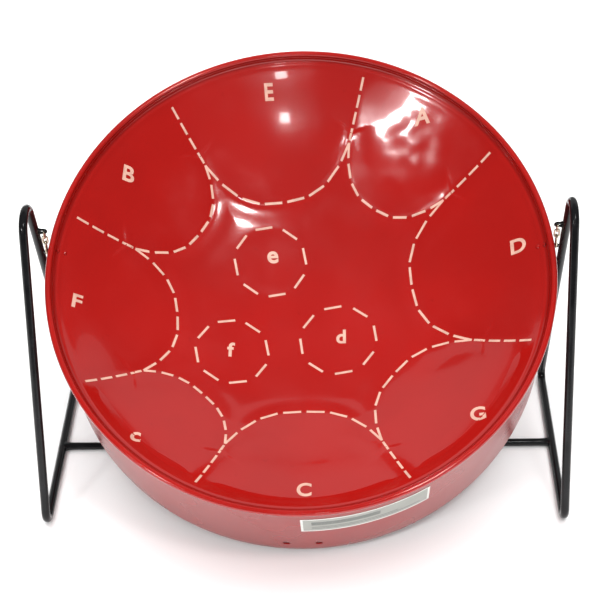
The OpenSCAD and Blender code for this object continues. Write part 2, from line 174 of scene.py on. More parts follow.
class StandProperties(bpy.types.PropertyGroup):
    """Sizes and colours of the stand and chains"""

    rod: FloatProperty(
        name="Rod", description="Diameter of the side frame rod", default=7 * MM, unit="LENGTH")
    bar: FloatProperty(
        name="Bar", description="Diameter of the cross bar", default=6.4 * MM, unit="LENGTH")
    eye_wire: FloatProperty(
        name="Eye wire", description="Wire diameter of lugs and hanger eyes", default=2 * MM, unit="LENGTH")
    link_wire: FloatProperty(
        name="Link wire", description="Wire diameter of the chain links", default=1.6 * MM, unit="LENGTH")
    black: FloatVectorProperty(
        name="Black", description="Colour of the stand's paint",
        subtype="COLOR", size=4, min=0, max=1, default=(0.004, 0.004, 0.0045, 1))
    plating: FloatVectorProperty(
        name="Plating", description="Colour of the plated links",
        subtype="COLOR", size=4, min=0, max=1, default=(0.78, 0.70, 0.56, 1))


class StudioProperties(bpy.types.PropertyGroup):
    """Camera and floor"""

    azimuth: FloatProperty(
        name="Azimuth", description="Camera angle round the object",
        default=math.radians(2.367), subtype="ANGLE")
    elevation: FloatProperty(
        name="Elevation", description="Camera angle above the table",
        default=math.radians(37.83), subtype="ANGLE")
    roll: FloatProperty(
        name="Roll", description="Camera roll", default=math.radians(-2.139), subtype="ANGLE")
    distance: FloatProperty(
        name="Distance", description="Camera distance from its target", default=1.25, unit="LENGTH")
    lens: FloatProperty(
        name="Lens", description="Focal length in millimetres", default=92.87)
    floor: FloatVectorProperty(
        name="Floor", description="Floor colour",
        subtype="COLOR", size=4, min=0, max=1, default=(0.93, 0.93, 0.93, 1))


# ---------- node helpers ----------


class Value:
    """A node socket that takes part in arithmetic"""

    def __init__(self, tree, socket):
        self.tree = tree
        self.socket = socket

    def other(self, output):
        """Another output of the same node"""
        return Value(self.tree, self.socket.node.outputs[output])

    def _math(self, operation, first, second):
        return self.tree.node("ShaderNodeMath", {"operation": operation}, {0: first, 1: second})

    def __add__(self, other):
        return self._math("ADD", self, other)

    def __radd__(self, other):
        return self._math("ADD", other, self)

    def __sub__(self, other):
        return self._math("SUBTRACT", self, other)

    def __rsub__(self, other):
        return self._math("SUBTRACT", other, self)

    def __mul__(self, other):
        return self._math("MULTIPLY", self, other)

    def __rmul__(self, other):
        return self._math("MULTIPLY", other, self)

    def __pow__(self, other):
        return self._math("POWER", self, other)

    def __gt__(self, other):
        return self._math("GREATER_THAN", self, other)


class Tree:
    """A node tree whose nodes all come from one method"""

    def __init__(self, tree):
        self.tree = tree

    def node(self, kind, settings=None, sockets=None, output=0):
        """Adds a node: its settings first, then the values or links of its sockets"""
        made = self.tree.nodes.new(kind)
        for key, value in (settings or {}).items():
            setattr(made, key, value)
        for key, value in (sockets or {}).items():
            if isinstance(value, Value):
                self.tree.links.new(value.socket, made.inputs[key])
            else:
                made.inputs[key].default_value = value
        return Value(self, made.outputs[output] if made.outputs else None)


class Shader(Tree):
    """One material's node tree"""

    def __init__(self, name):
        self.material = bpy.data.materials.new(name)
        self.material.use_nodes = True
        super().__init__(self.material.node_tree)
        self.tree.nodes.clear()

    def where(self):
        return self.node("ShaderNodeTexCoord", output="Object")

    def split(self, vector):
        """The x, y and z of a vector"""
        x = self.node("ShaderNodeSeparateXYZ", None, {0: vector})
        return x, x.other(1), x.other(2)

    def noise(self, scale, detail=3.0, rough=0.5):
        return self.node("ShaderNodeTexNoise", {"noise_dimensions": "3D"},
                         {"Vector": self.where(), "Scale": scale, "Detail": detail, "Roughness": rough})

    def mix(self, factor, one, two):
        return self.node("ShaderNodeMix", {"data_type": "RGBA"}, {0: factor, 6: one, 7: two}, 2)

    def ramp(self, factor, low, high):
        """A smooth step from 0 to 1 between two values"""
        return self.node("ShaderNodeMapRange", {"interpolation_type": "SMOOTHSTEP"},
                         {"Value": factor, "From Min": low, "From Max": high})

    def patches(self, scale, detail, low, high):
        """Noise stepped into soft patches"""
        return self.ramp(self.noise(scale, detail), low, high)

    def grain(self, scale, detail, strength, distance):
        """A bump from fine noise"""
        return self.node("ShaderNodeBump", None, {
            "Height": self.noise(scale, detail), "Strength": strength, "Distance": distance})

    def finish(self, **sockets):
        """Ends the tree in its surface; an underscore stands for a space in a socket's name"""
        surface = self.node("ShaderNodeBsdfPrincipled", None, {
            key.replace("_", " "): value for key, value in sockets.items()})
        self.node("ShaderNodeOutputMaterial", None, {0: surface})
        return self.material


def shade(colour, factor):
    return tuple(channel * factor for channel in colour[:3]) + (1.0,)


def once(recipe):
    """Makes a recipe's material, named after it, the first time and returns the same one after that"""
    kept = []

    def material(colour):
        if not kept:
            kept.append(recipe(Shader(recipe.__name__), colour))
        return kept[0]

    return material


# ---------- materials ----------


@once
def red_enamel(s, colour):
    """Gloss red enamel: a faint mottle, fine orange peel, a few rubbed patches, and painted shade that darkens the
    crease at the rim
    """
    tone = s.mix(s.patches(9.0, 4.0, 0.3, 0.7), shade(colour, 0.93), shade(colour, 1.06))
    tone = s.mix(s.patches(160.0, 2.0, 0.66, 0.8) * 0.25, tone, shade(colour, 0.7))
    x, y, z = s.split(s.where())
    centre = PAN.translation
    up_slope = (y - centre.y) * math.cos(TILT) + (z - centre.z) * math.sin(TILT)
    from_axis = (x * x + up_slope * up_slope) ** 0.5
    # Painted shade: the base colour is darkened in the crease between the dish's upright wall and the rolled rim,
    # where shade falls
    painted_crease_shade = s.ramp(from_axis, 0.1945, 0.1965) * (1 - s.ramp(from_axis, 0.1978, 0.1990))
    tone = s.mix(painted_crease_shade * 0.35, tone, shade(colour, 0.3))
    rough = 0.15 + s.ramp(s.noise(22.0, 5.0, 0.6), 0.4, 0.75) * 0.10
    return s.finish(Base_Color=tone, Roughness=rough, Normal=s.grain(420.0, 1.0, 0.10, 0.0002),
                    IOR=1.5, Coat_Weight=0.5, Coat_Roughness=0.04)


@once
def red_skirt_enamel(s, colour):
    """The same enamel on the rolled sheet of the skirt, duller and a little darker"""
    tone = s.mix(s.patches(7.0, 4.0, 0.3, 0.7), shade(colour, 0.84), shade(colour, 0.98))
    tone = s.mix(s.patches(90.0, 3.0, 0.5, 0.75) * 0.2, tone, shade(colour, 0.7))
    rough = 0.25 + s.patches(12.0, 2.0, 0.3, 0.7) * 0.06
    return s.finish(Base_Color=tone, Roughness=rough, Normal=s.grain(140.0, 1.0, 0.05, 0.0003),
                    IOR=1.5, Coat_Weight=0.12, Coat_Roughness=0.08)


@once
def black_rod_paint(s, colour):
    """Gloss black paint with a soft orange peel and thin spots"""
    tone = s.mix(s.patches(60.0, 4.0, 0.35, 0.7), colour, shade(colour, 1.9))
    tone = s.mix(s.patches(500.0, 2.0, 0.7, 0.82) * 0.4, tone, (0.03, 0.029, 0.027, 1))
    rough = 0.12 + s.patches(90.0, 4.0, 0.35, 0.7) * 0.12
    return s.finish(Base_Color=tone, Roughness=rough, Normal=s.grain(700.0, 2.0, 0.2, 0.0002),
                    IOR=1.5, Specular_IOR_Level=0.28)


@once
def plated_wire(s, colour):
    """Bright plated wire, duller and browner in patches"""
    dull = s.patches(420.0, 4.0, 0.42, 0.66)
    tone = s.mix(dull, colour, (0.34, 0.25, 0.17, 1))
    return s.finish(Base_Color=tone, Metallic=1.0, Roughness=0.2 + dull * 0.25,
                    Normal=s.grain(1500.0, 2.0, 0.2, 0.0001))


@once
def cream_mark_paint(s, colour):
    """Hand-stencilled cream paint, slightly thin in places"""
    tone = s.mix(s.patches(130.0, 4.0, 0.35, 0.7), shade(colour, 1.05), shade(colour, 0.86))
    tone = s.mix(s.patches(900.0, 2.0, 0.62, 0.8) * 0.4, tone, (0.6, 0.2, 0.15, 1))
    return s.finish(Base_Color=tone, Roughness=0.32 + s.noise(200.0) * 0.15,
                    Normal=s.grain(1200.0, 2.0, 0.2, 0.0001))


@once
def label_paper(s, colour):
    """Pale label with a lighter border and plain printed bars"""
    u, v, _ = s.split(s.node("ShaderNodeUVMap", {"uv_map": "label"}))

    def block(left, right, low, high):
        return (u > left) * (1 - (u > right)) * ((v > low) * (1 - (v > high)))

    border = 1 - block(0.018, 0.982, 0.06, 0.94)
    bars = block(0.08, 0.60, 0.50, 0.76) + block(0.08, 0.92, 0.20, 0.25) + block(0.08, 0.74, 0.31, 0.36)
    tone = s.mix(s.patches(60.0, 4.0, 0.3, 0.7), colour, shade(colour, 0.9))
    tone = s.mix(s.patches(900.0, 2.0, 0.25, 0.4) * bars * 0.8, tone, (0.10, 0.12, 0.11, 1))
    tone = s.mix(border, tone, (0.68, 0.70, 0.66, 1))
    return s.finish(Base_Color=tone, Roughness=0.42 + s.noise(80.0) * 0.12,
                    Normal=s.grain(700.0, 3.0, 0.15, 0.0001))


@once
def floor_paint(s, colour):
    """Plain pale floor"""
    tone = s.mix(s.patches(1.5, 2.0, 0.3, 0.7), colour, shade(colour, 0.985))
    return s.finish(Base_Color=tone, Roughness=0.85 + s.noise(3.0) * 0.05)


# ---------- mesh helpers ----------


def polar(radius, angle):
    return radius * math.cos(angle), radius * math.sin(angle)


def box_of(node):
    """A node's lowest and highest corners"""
    return (Vector(corner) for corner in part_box(node))


def reach_of(node):
    """A node's least and greatest distance from the middle plane"""
    low, high = box_of(node)
    return sorted((abs(low.x), abs(high.x)))


def hinge_of(name):
    """Where a joint's axis is"""
    for joint in frame["record"]["behaviour"]["joints"]:
        if joint["name"] == name:
            return Vector(joint["pos_m"])
    raise RuntimeError("no joint " + name)


def make_object(name, mesh, material, smooth=True):
    """Links a mesh as an object at the origin"""
    obj = bpy.data.objects.new(name, mesh)
    bpy.context.scene.collection.objects.link(obj)
    mesh.materials.clear()
    mesh.materials.append(material)
    mesh.polygons.foreach_set("use_smooth", [smooth] * len(mesh.polygons))
    mesh.update()
    return obj


def settle(obj, body, node):
    """Rides the piece on its body and lets it stand for its CAD node"""
    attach(obj, body)
    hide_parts(node)


def mesh_from(name, verts, faces):
    """A mesh with its faces turned outward"""
    mesh = bpy.data.meshes.new(name)
    mesh.from_pydata([tuple(v) for v in verts], [], faces)
    bm = bmesh.new()
    bm.from_mesh(mesh)
    bmesh.ops.recalc_face_normals(bm, faces=bm.faces)
    bm.to_mesh(mesh)
    bm.free()
    mesh.validate()
    return mesh


def ring_strips(count, rings, wrap=False):
    """Quads between neighbouring rings of count vertices"""
    faces = []
    for r in range(rings if wrap else rings - 1):
        a, b = r * count, (r + 1) % rings * count
        for i in range(count):
            j = (i + 1) % count
            faces.append((a + i, a + j, b + j, b + i))
    return faces


def closed_tube(count, rings, first=0):
    """Faces of a tube of rings with a cap at each end, counted from a first vertex"""
    faces = ring_strips(count, rings)
    faces += [tuple(range(count)), tuple(range((rings - 1) * count, rings * count))]
    return [tuple(first + v for v in face) for face in faces]


def revolve(name, profile, warp):
    """Turns a closed profile of (radius, height) round the pan's axis, each point moved by warp"""
    segments = 480
    verts = []
    for radius, height in profile:
        for i in range(segments):
            angle = 2 * math.pi * i / segments
            verts.append(PAN @ warp(Vector((*polar(radius, angle), height)), angle))
    return mesh_from(name, verts, ring_strips(segments, len(profile), wrap=True))


def arc_points(centre, radius, start, sweep, count):
    """Points on an arc in a plane, angles in radians"""
    turns = (polar(radius, start + sweep * i / count) for i in range(count + 1))
    return [(centre[0] + x, centre[1] + y) for x, y in turns]


def start_group(name, inputs):
    """A geometry node group with a path and named inputs, and its input node"""
    group = bpy.data.node_groups.new(name, "GeometryNodeTree")
    for label, kind in (("Geometry", "Geometry"), *inputs, ("Material", "Material")):
        group.interface.new_socket(label, in_out="INPUT", socket_type="NodeSocket" + kind)
    group.interface.new_socket("Geometry", in_out="OUTPUT", socket_type="NodeSocketGeometry")
    tree = Tree(group)
    given = tree.node("NodeGroupInput")
    return tree, given, tree.node("GeometryNodeMeshToCurve", None, {"Mesh": given})


def end_group(tree, given, made):
    """Ends a group in Realize Instances and Set Material"""
    real = tree.node("GeometryNodeRealizeInstances", None, {0: made})
    painted = tree.node("GeometryNodeSetMaterial", None,
                        {"Geometry": real, "Material": given.other("Material")})
    tree.node("NodeGroupOutput", None, {0: painted})
    return tree.tree


def wire_tree():
    """Geometry Nodes: a round wire along the path it is given"""
    if "bent_wire" in bpy.data.node_groups:
        return bpy.data.node_groups["bent_wire"]
    tree, given, path = start_group("bent_wire", (("Wire Radius", "Float"), ("Sides", "Int")))
    section = tree.node("GeometryNodeCurvePrimitiveCircle", None,
                        {"Radius": given.other("Wire Radius"), "Resolution": given.other("Sides")})
    wire = tree.node("GeometryNodeCurveToMesh", None,
                     {"Curve": path, "Profile Curve": section, "Fill Caps": True})
    return end_group(tree, given, tree.node("GeometryNodeSetShadeSmooth", None, {"Geometry": wire}))


def dash_tree():
    """Geometry Nodes: flat dashes evenly spaced along a path"""
    if "painted_dashes" in bpy.data.node_groups:
        return bpy.data.node_groups["painted_dashes"]
    sizes = ("Dash Length", "Dash Width", "Thickness")
    tree, given, path = start_group("painted_dashes", [(size, "Float") for size in sizes] + [("Count", "Int")])
    points = tree.node("GeometryNodeCurveToPoints", {"mode": "COUNT"},
                       {"Curve": path, "Count": given.other("Count")})
    turn = tree.node("FunctionNodeAlignRotationToVector", {"axis": "X", "pivot_axis": "Z"},
                     {"Vector": points.other("Tangent")})
    size = tree.node("ShaderNodeCombineXYZ", None, {i: given.other(name) for i, name in enumerate(sizes)})
    strip = tree.node("GeometryNodeMeshCube", None,
                      {"Size": size, "Vertices X": 10, "Vertices Y": 3, "Vertices Z": 2})
    dashes = tree.node("GeometryNodeInstanceOnPoints", None,
                       {"Points": points, "Instance": strip, "Rotation": turn})
    return end_group(tree, given, dashes)


def run_tree(tree, paths, values):
    """Runs a tree over paths, each a list of points and whether it closes, and returns a plain mesh"""
    verts, edges = [], []
    for points, closed in paths:
        first = len(verts)
        verts.extend(tuple(p) for p in points)
        edges.extend((first + i, first + i + 1) for i in range(len(points) - 1))
        if closed:
            edges.append((len(verts) - 1, first))
    mesh = bpy.data.meshes.new("path")
    mesh.from_pydata(verts, edges, [])
    obj = bpy.data.objects.new("path", mesh)
    bpy.context.scene.collection.objects.link(obj)
    modifier = obj.modifiers.new("nodes", "NODES")
    modifier.node_group = tree
    for item in tree.interface.items_tree:
        if item.in_out == "INPUT" and item.name in values:
            modifier[item.identifier] = values[item.name]
    bpy.context.view_layer.update()
    graph = bpy.context.evaluated_depsgraph_get()
    made = bpy.data.meshes.new_from_object(obj.evaluated_get(graph))
    obj.modifiers.remove(modifier)
    bpy.data.objects.remove(obj)
    bpy.data.meshes.remove(mesh)
    return made


def wire_object(name, path, closed, radius, sides, material):
    mesh = run_tree(wire_tree(), [(path, closed)],
                    {"Wire Radius": radius, "Sides": sides, "Material": material})
    return make_object(name, mesh, material)


# ---------- dish surface ----------


def fork_point(degrees, radius=FORK_R):
    return np.array(polar(radius, math.radians(degrees)))


def outer_note(k):
    """Middle of the fork line, unit vector along it, unit vector inward, half width and depth of the curve"""
    p, q = fork_point(DIVIDERS[k]), fork_point(DIVIDERS[k + 1])
    mid = (p + q) / 2
    along = (q - p) / np.linalg.norm(q - p)
    inward = -mid / np.linalg.norm(mid)
    return mid, along, inward, np.linalg.norm(q - p) / 2, np.linalg.norm(mid) - INNER_R[k]


def soft(distance, width):
    """Zero outside, the distance inside, rounded over the width"""
    return (distance + np.sqrt(distance * distance + width * width)) / 2


def bell(distance, width):
    return np.exp(-(distance / width) ** 2)


def note_height(x, y, props):
    """Raised notes and the ridges round them, in mm"""
    r = np.hypot(x, y)
    rise, inner_rise = props.note_rise / MM, props.inner_rise / MM
    rim_side = 1 - np.exp(-soft(191.0 - r, 2.0) / 7.0)
    total, ridge, groove = np.zeros_like(r), np.zeros_like(r), np.zeros_like(r)
    for k in range(8):
        mid, along, inward, a, b = outer_note(k)
        wx, wy = x - mid[0], y - mid[1]
        u = wx * along[0] + wy * along[1]
        v = wx * inward[0] + wy * inward[1]
        # Distance inside the note: to its curve, and to the dividers that flank it
        spread = math.tan(math.radians(DIVIDERS[k + 1] - DIVIDERS[k]) / 2)
        back = np.maximum(0, -v)
        wide = a + spread * back * back / (back + 5.0)
        part = np.minimum(np.abs(u) / a, 1.0)
        slope = FULLNESS * b / a * part ** (FULLNESS - 1)
        oval = (b * (1 - part ** FULLNESS) - v) / np.sqrt(1 + slope * slope)
        side = wide - np.abs(u)
        inside = (oval + side - np.sqrt((oval - side) ** 2 + 81)) / 2 + 2.6 * np.exp(-np.abs(oval - side) / 12)
        # A front note is raised over a longer slope, and sinks again toward the rim
        flat = k in FLAT_NOTES
        crown = 1.5 if flat else 1.0
        ramp = 1 - np.exp(-soft(inside, 2.2) / (15.0 * crown ** 1.6))
        total += crown * rise * ramp * rim_side * (inside > -12)
        if flat:
            sink = 0.0034 * np.clip(r - 150.0, 0, 34.0) ** 2 * np.clip((193.0 - r) / 9.0, 0, 1)
            total -= sink * (1 - np.exp(-soft(inside, 2.2) / 10.0)) * (inside > -12)
        ridge = np.maximum(ridge, bell(inside + 9.0, 8.0) * (v > -6))
        groove = np.maximum(groove, GROOVES[k] * bell(inside + 1.6, 2.2) * (v > -2))
    for cx, cy, radius, _ in INNER.values():
        inside = radius - np.hypot(x - cx, y - cy)
        total += inner_rise * (1 - np.exp(-soft(inside, 2.0) / 8.0)) * (inside > -10)
    return total + 0.7 * ridge - groove


def wavy(x, y, size, seed):
    """Smooth noise over the dish, with waves about size mm long"""
    flat = [noise.noise(Vector((px / size, py / size, seed))) for px, py in zip(np.ravel(x), np.ravel(y))]
    return np.array(flat).reshape(np.shape(x))


def hammer(x, y, props):
    """Shallow overlapping hammer marks, and deeper ones where the low A note was tuned, in mm"""
    marks = props.hammering / MM * (wavy(x, y, 34.0, 3.1) + 0.22 * wavy(x, y, 13.0, 7.7))
    tuned = np.exp(-(((x - 92) / 26) ** 2 + ((y - 128) / 22) ** 2))
    return marks + 1.15 * tuned * wavy(x, y, 14.0, 5.3)


def dish_ball(props):
    """Radius of the dish's sphere and height of its middle above the rim plane, in mm"""
    edge, depth = props.dish_edge / MM, props.dish_depth / MM
    drop = depth - props.edge_depth / MM
    ball = (edge * edge + drop * drop) / (2 * drop)
    return ball, ball - depth


def dish_surface(x, y, props):
    """Height of the dish's upper face against the rim plane, in mm"""
    edge = props.dish_edge / MM
    ball, middle = dish_ball(props)
    r2 = np.minimum(x * x + y * y, (edge + 1.0) ** 2)
    fade = np.clip((edge - np.sqrt(r2)) / 6.0, 0, 1)
    return middle - np.sqrt(ball * ball - r2) + note_height(x, y, props) + hammer(x, y, props) * fade


def lay_on_dish(mesh, props):
    """Moves a flat mesh of paint, drawn in mm on the rim plane, down on the dish"""
    count = len(mesh.vertices)
    flat = np.empty(count * 3)
    mesh.vertices.foreach_get("co", flat)
    flat = flat.reshape(-1, 3)
    x, y, up = flat[:, 0], flat[:, 1], flat[:, 2] - flat[:, 2].min()
    step = 0.4
    z = dish_surface(x, y, props)
    slope_x = (dish_surface(x + step, y, props) - z) / step
    slope_y = (dish_surface(x, y + step, props) - z) / step
    normal = np.stack([-slope_x, -slope_y, np.ones(count)], axis=1)
    normal /= np.linalg.norm(normal, axis=1)[:, None]
    points = np.stack([x, y, z], axis=1) + normal * (up + PAINT_LIFT)[:, None]
    laid = [tuple(PAN @ Vector(p * MM)) for p in points]
    mesh.vertices.foreach_set("co", np.array(laid).ravel())
    mesh.update()


# ---------- pan ----------


class PAN_OT_bowl(bpy.types.Operator):
    """Builds the hammered playing bowl with its notes"""

    bl_idname = "steel_pan.bowl"
    bl_label = "Playing bowl"

    def execute(self, context):
        props = context.scene.steel_pan
        segments, rings = 440, 186
        edge, sheet = props.dish_edge / MM, props.sheet / MM
        angles = np.arange(segments) * 2 * math.pi / segments
        radii = np.linspace(0, edge, rings + 1)[1:, None]
        x, y = radii * np.cos(angles), radii * np.sin(angles)
        z = dish_surface(x, y, props)
        rows = [np.stack(ring, axis=1) for ring in zip(x, y, z)]

        def add_row(radius, height):
            rows.append(np.stack([radius * np.cos(angles), radius * np.sin(angles),
                                  np.broadcast_to(height, segments)], axis=1))

        # Fillet from the dish up the inner wall to the underside of the rolled rim
        fillet = ((edge + 1.2, -7.35), (edge + 2.3, -6.55), (edge + 3.1, -5.6),
                  (WALL_R - 0.1, -4.6), (WALL_R, -3.6), (WALL_R + 0.1, -2.7))
        uneven = z[-1] - z[-1].mean()
        for step, (radius, height) in enumerate(fillet):
            add_row(radius, height + uneven * max(0.0, 1 - (step + 1) / 3))
        # Down the outer face of the wall, then in along the underside of the dish
        outer = WALL_R + sheet - 0.1
        for radius, height in ((outer - 0.5, -2.9), (outer, -4.2), (outer, -8.6), (outer - 0.6, -9.15),
                               (edge + 2, -9.2), (edge, -9.3)):
            add_row(radius, height)
        ball, middle = dish_ball(props)
        for radius in np.linspace(edge - 3, 3, 24):
            add_row(radius, middle - math.sqrt((ball + sheet) ** 2 - radius * radius))

        verts = [PAN @ Vector(p * MM) for row in rows for p in row]
        faces = ring_strips(segments, len(rows))
        top = float(dish_surface(np.zeros(1), np.zeros(1), props)[0])
        for centre, ring in ((top, 0), (-props.dish_depth / MM - sheet, len(rows) - 1)):
            verts.append(PAN @ Vector((0, 0, centre * MM)))
            first = ring * segments
            faces += [(first + i, first + (i + 1) % segments, len(verts) - 1) for i in range(segments)]
        mesh = mesh_from("playing_bowl_shell", verts, faces)
        settle(make_object("playing_bowl_shell", mesh, red_enamel(props.red)), "pan", "playing_bowl")
        return {"FINISHED"}


class PAN_OT_skirt(bpy.types.Operator):
    """Builds the skirt with its two small holes"""

    bl_idname = "steel_pan.skirt"
    bl_label = "Skirt"

    def execute(self, context):
        props = context.scene.steel_pan
        inner = SKIRT_R - props.sheet
        low, top = -props.skirt_depth, -4.6 * MM
        # The low edge is rounded a little on both sides
        heights = [low + 0.6 * MM] + [low + (top - low) * i / 16 for i in range(1, 17)]
        profile = [(SKIRT_R - 0.6 * MM, low), (SKIRT_R - 0.15 * MM, low + 0.15 * MM)]
        profile += [(SKIRT_R, z) for z in heights] + [(inner, z) for z in reversed(heights)]
        profile += [(inner + 0.15 * MM, low + 0.15 * MM)]

        def ripple(point, angle):
            depth = min(1.0, max(0.0, (-point.z - 6 * MM) / (20 * MM)))
            wave = noise.noise(Vector((*polar(4, angle), point.z * 14)))
            near_edge = min(1.0, (point.z + props.skirt_depth) / (8 * MM) + 0.15)
            return point + Vector((*polar(1, angle), 0)) * ((wave - 1.0) * 0.16 * MM * depth * near_edge)

        obj = make_object("skirt_sheet", revolve("skirt_sheet", profile, ripple), red_skirt_enamel(props.red))
        cutter = bmesh.new()
        for _, flip in SIDES:
            place = (PAN @ Matrix.Rotation(math.radians(flip * HOLE_TURN - 90), 4, "Z")
                     @ Matrix.Translation((SKIRT_R, 0, -HOLE_DEPTH)) @ Matrix.Rotation(math.pi / 2, 4, "Y"))
            bmesh.ops.create_cone(cutter, cap_ends=True, segments=40, radius1=HOLE_R, radius2=HOLE_R,
                                  depth=12 * MM, matrix=place)
        holes = bpy.data.meshes.new("hole_cutter")
        cutter.to_mesh(holes)
        cutter.free()
        tool = bpy.data.objects.new("hole_cutter", holes)
        context.scene.collection.objects.link(tool)
        modifier = obj.modifiers.new("holes", "BOOLEAN")
        modifier.operation = "DIFFERENCE"
        modifier.object = tool
        modifier.solver = "EXACT"
        cut = bpy.data.meshes.new_from_object(obj.evaluated_get(context.evaluated_depsgraph_get()))
        obj.modifiers.remove(modifier)
        obj.data = cut
        bpy.data.objects.remove(tool)
        settle(obj, "pan", "skirt")
        return {"FINISHED"}


class PAN_OT_rim(bpy.types.Operator):
    """Builds the rolled rim, very slightly uneven like a hand-rolled edge"""

    bl_idname = "steel_pan.rim"
    bl_label = "Rolled rim"

    def execute(self, context):
        sides = 28
        section = (polar(BEAD_R, 2 * math.pi * i / sides) for i in range(sides))
        profile = [(BEAD_C + out, up - BEAD_R) for out, up in section]

        def uneven(point, angle):
            wave = noise.noise(Vector((*polar(6, angle), 1.3))) - 0.6
            return point + Vector((0, 0, 0.09 * MM * wave))

        mesh = revolve("rolled_rim_bead", profile, uneven)
        bead = make_object("rolled_rim_bead", mesh, red_enamel(context.scene.steel_pan.red))
        settle(bead, "pan", "rolled_rim")
        return {"FINISHED"}


class PAN_OT_label(bpy.types.Operator):
    """Builds the plain paper label on the skirt"""

    bl_idname = "steel_pan.label"
    bl_label = "Skirt label"

    def execute(self, context):
        columns, rows = 60, 16
        verts, faces, uv = [], [], []
        for lift in (0.0, LABEL_PAPER):
            for j in range(rows + 1):
                for i in range(columns + 1):
                    u, v = i / columns, j / rows
                    around = polar(SKIRT_R + 0.02 * MM + lift, math.radians(-90 + LABEL_TURN * u))
                    verts.append(PAN @ Vector((*around, -LABEL_TOP - LABEL_HEIGHT * (1 - v))))
                    uv.append((u, v))
        width = columns + 1
        layer = width * (rows + 1)
        for j in range(rows):
            for i in range(columns):
                a = j * width + i
                faces.append((a, a + width, a + width + 1, a + 1))
                faces.append((a + layer, a + 1 + layer, a + width + 1 + layer, a + width + layer))
        border = list(range(width)) + [j * width + columns for j in range(1, rows + 1)]
        border += [rows * width + i for i in range(columns - 1, -1, -1)] + [j * width for j in range(rows - 1, 0, -1)]
        for a, b in zip(border, border[1:] + border[:1]):
            faces.append((a, b, b + layer, a + layer))
        mesh = mesh_from("paper_label", verts, faces)
        label_uv = mesh.uv_layers.new(name="label")
        for loop in mesh.loops:
            label_uv.data[loop.index].uv = uv[loop.vertex_index]
        label = make_object("paper_label", mesh, label_paper(context.scene.steel_pan.paper), smooth=False)
        settle(label, "pan", "skirt_label")
        return {"FINISHED"}


class PAN_OT_dashes(bpy.types.Operator):
    """Paints the dashed note outlines and dividers"""

    bl_idname = "steel_pan.dashes"
    bl_label = "Dashed outlines"

    def paint(self, context, name, node, paths, length, count):
        props = context.scene.steel_pan
        material = cream_mark_paint(props.cream)
        mesh = run_tree(dash_tree(), paths, {"Dash Length": length, "Dash Width": DASH_WIDTH,
                                             "Thickness": PAINT, "Count": count, "Material": material})
        lay_on_dish(mesh, props)
        settle(make_object(name, mesh, material, smooth=False), "pan", node)

    def execute(self, context):
        # A path runs between the middles of its first and last dash
        dashes = 8
        for k, note in enumerate(OUTER_NODES):
            mid, along, inward, a, b = outer_note(k)
            turns = np.cos(np.linspace(math.pi, 0, 241))
            points = mid + np.outer(turns, along) * a + np.outer(1 - np.abs(turns) ** FULLNESS, inward) * b
            run = np.concatenate([[0], np.cumsum(np.linalg.norm(np.diff(points, axis=0), axis=1))])
            dash = (run[-1] + OUTLINE_GAP - 2 * FORK_GAP) / dashes - OUTLINE_GAP
            places = np.linspace(FORK_GAP + dash / 2, run[-1] - FORK_GAP - dash / 2, 200)
            path = [(np.interp(s, run, points[:, 0]), np.interp(s, run, points[:, 1]), 0) for s in places]
            self.paint(context, "outline_dashes_" + note, "outline_" + note, [(path, False)], dash, dashes)
        for note, (cx, cy, radius, turn) in INNER.items():
            ring = [(x, y, 0) for x, y in arc_points((cx, cy), radius, math.radians(turn), 2 * math.pi, 160)]
            self.paint(context, "outline_dashes_" + note, "outline_" + note, [(ring[:-1], True)], INNER_DASH, dashes)
        count = 4
        dash = (DIVIDER_END + DIVIDER_GAP - DIVIDER_START) / count - DIVIDER_GAP
        lines = []
        for degrees in DIVIDERS[:8]:
            a, b = fork_point(degrees, DIVIDER_START + dash / 2), fork_point(degrees, DIVIDER_END - dash / 2)
            lines.append(([(*(a + (b - a) * i / 12), 0) for i in range(13)], False))
        self.paint(context, "divider_dash_lines", "divider_dashes", lines, dash, count)
        return {"FINISHED"}


class PAN_OT_letters(bpy.types.Operator):
    """Paints the note letters"""

    bl_idname = "steel_pan.letters"
    bl_label = "Note letters"

    def execute(self, context):
        props = context.scene.steel_pan
        material = cream_mark_paint(props.cream)
        for node, character, x, y, height, turn in LETTERS:
            curve = bpy.data.curves.new("glyph", "FONT")
            curve.body = character
            curve.size = 16
            curve.offset = 0.42
            curve.resolution_u = 6
            glyph = bpy.data.objects.new("glyph", curve)
            context.scene.collection.objects.link(glyph)
            context.view_layer.update()
            flat = bpy.data.meshes.new_from_object(glyph.evaluated_get(context.evaluated_depsgraph_get()))
            bpy.data.objects.remove(glyph)
            bm = bmesh.new()
            bm.from_mesh(flat)
            bmesh.ops.remove_doubles(bm, verts=bm.verts, dist=0.001)
            xs = [v.co.x for v in bm.verts]
            ys = [v.co.y for v in bm.verts]
            centre = Vector(((max(xs) + min(xs)) / 2, (max(ys) + min(ys)) / 2, 0))
            place = (Matrix.Translation((x, y, 0)) @ Matrix.Rotation(math.radians(turn), 4, "Z")
                     @ Matrix.Scale(height / (max(ys) - min(ys)), 4) @ Matrix.Translation(-centre))
            bmesh.ops.transform(bm, matrix=place, verts=bm.verts)
            # Cut into a fine grid, so that the flat letter can follow the dish
            for axis in (Vector((1, 0, 0)), Vector((0, 1, 0))):
                for step in range(-6, 7):
                    bmesh.ops.bisect_plane(bm, geom=bm.verts[:] + bm.edges[:] + bm.faces[:], plane_no=axis,
                                           plane_co=Vector((x, y, 0)) + axis * step * 1.5, dist=0.0001)
            bmesh.ops.triangulate(bm, faces=bm.faces)
            grown = bmesh.ops.extrude_face_region(bm, geom=bm.faces[:])
            for v in grown["geom"]:
                if isinstance(v, bmesh.types.BMVert):
                    v.co.z += PAINT
            bmesh.ops.recalc_face_normals(bm, faces=bm.faces)
            bm.to_mesh(flat)
            bm.free()
            lay_on_dish(flat, props)
            settle(make_object("painted_" + node, flat, material, smooth=False), "pan", node)
        return {"FINISHED"}


